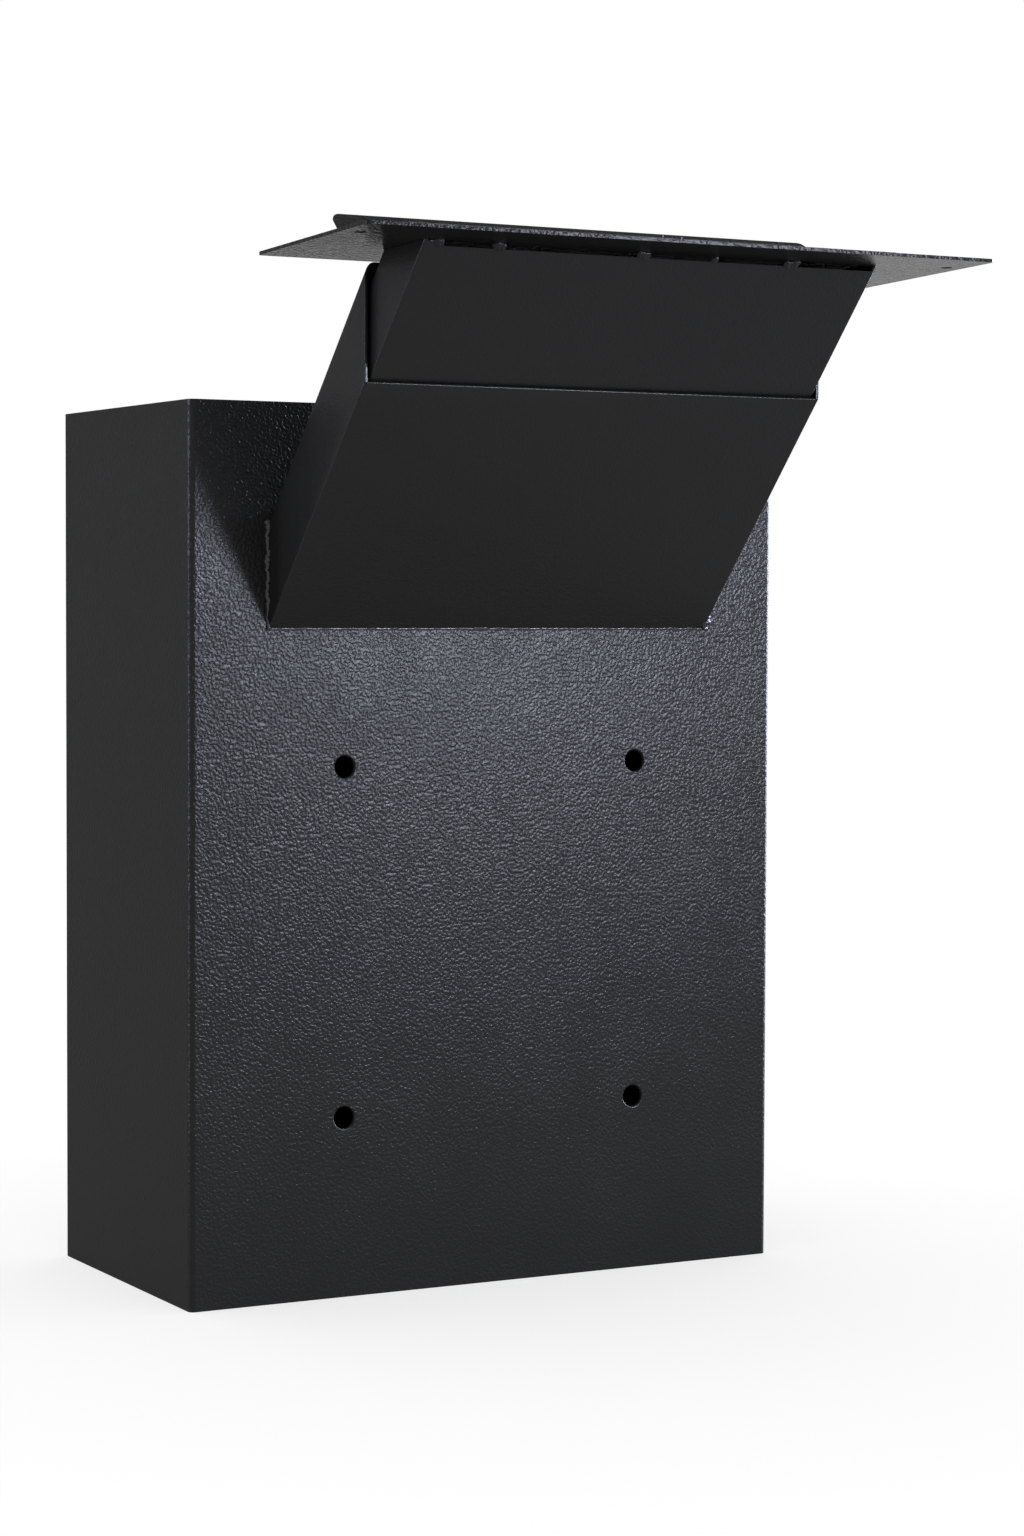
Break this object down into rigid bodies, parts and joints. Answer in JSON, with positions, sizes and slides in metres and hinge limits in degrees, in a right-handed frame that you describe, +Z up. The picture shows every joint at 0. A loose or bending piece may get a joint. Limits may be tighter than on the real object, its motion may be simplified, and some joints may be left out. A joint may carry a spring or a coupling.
{
  "type": "through-wall key drop box",
  "caption": "Steel key drop box with an inset locking door in front and a telescoping through-wall chute rising from its back to a face plate with a hinged flap.",
  "frame": {"origin": "centre of the four wall holes, on the outer face of the box's back", "axes": "+Y out of the back into the wall, the way the chute goes; +Z up; the door faces -Y and its lock is on the +X side"},
  "size_m": [0.3048, 0.3589, 0.482],
  "materials": {
    "powder_coat": "charcoal powder coat with a coarse wrinkle, low sheen",
    "door_coat": "charcoal powder coat with a coarse wrinkle, low sheen",
    "chute_coat": "charcoal powder coat with a fine texture, satin",
    "painted_weld": "weld bead under the same charcoal powder coat, rippled",
    "hinge_steel": "bare rolled steel, satin",
    "pin_steel": "drawn steel wire",
    "lock_chrome": "bright chrome plate",
    "plug_nickel": "nickel plate",
    "wafer_brass": "stamped brass",
    "zinc_steel": "bright zinc plate",
    "key_nickel": "nickel-plated brass",
    "bumper_rubber": "matt black rubber"
  },
  "bodies": {
    "box": {"shell_wrap": "powder_coat", "top_panel": "powder_coat", "bottom_panel": "powder_coat", "outer_chute_channel": "chute_coat", "outer_chute_floor": "chute_coat", "chute_welds": "painted_weld", "door_stops": "powder_coat", "door_bumpers": "bumper_rubber", "frame_hinge_leaf": "hinge_steel", "door_hinge_pin": "pin_steel"},
    "door": {"door_panel": "door_coat", "door_stiffener": "door_coat", "door_hinge_leaf": "hinge_steel", "lock_barrel": "lock_chrome", "lock_washer": "zinc_steel", "lock_nut": "zinc_steel"},
    "lock": {"lock_plug": "plug_nickel", "lock_wafers": "wafer_brass", "lock_cam": "zinc_steel", "cam_screw": "zinc_steel", "lock_key": "key_nickel"},
    "inner_chute": {"inner_chute_channel": "chute_coat", "inner_chute_floor": "chute_coat", "stitch_welds": "painted_weld", "face_plate": "chute_coat", "flap_hinge_leaf": "chute_coat", "flap_hinge_pin": "pin_steel"},
    "flap": {"flap": "chute_coat"}
  },
  "joints": [
    {"name": "door_hinge", "type": "hinge", "parent": "box", "child": "door", "pos_m": [-0.13525, -0.1542, 0.0408], "axis": [0, 0, -1], "range_deg": [0, 180]},
    {"name": "lock_turn", "type": "hinge", "parent": "door", "child": "lock", "pos_m": [0.1074, -0.1524, 0.0408], "axis": [0, -1, 0], "range_deg": [0, 90]},
    {"name": "chute_slide", "type": "slide", "parent": "box", "child": "inner_chute", "axis": [0, 0.682, 0.7314], "range_m": [-0.004, 0.075]},
    {"name": "flap_hinge", "type": "hinge", "parent": "inner_chute", "child": "flap", "pos_m": [0, 0.14806, 0.30688], "axis": [-1, 0, 0], "range_deg": [0, 105]}
  ]
}
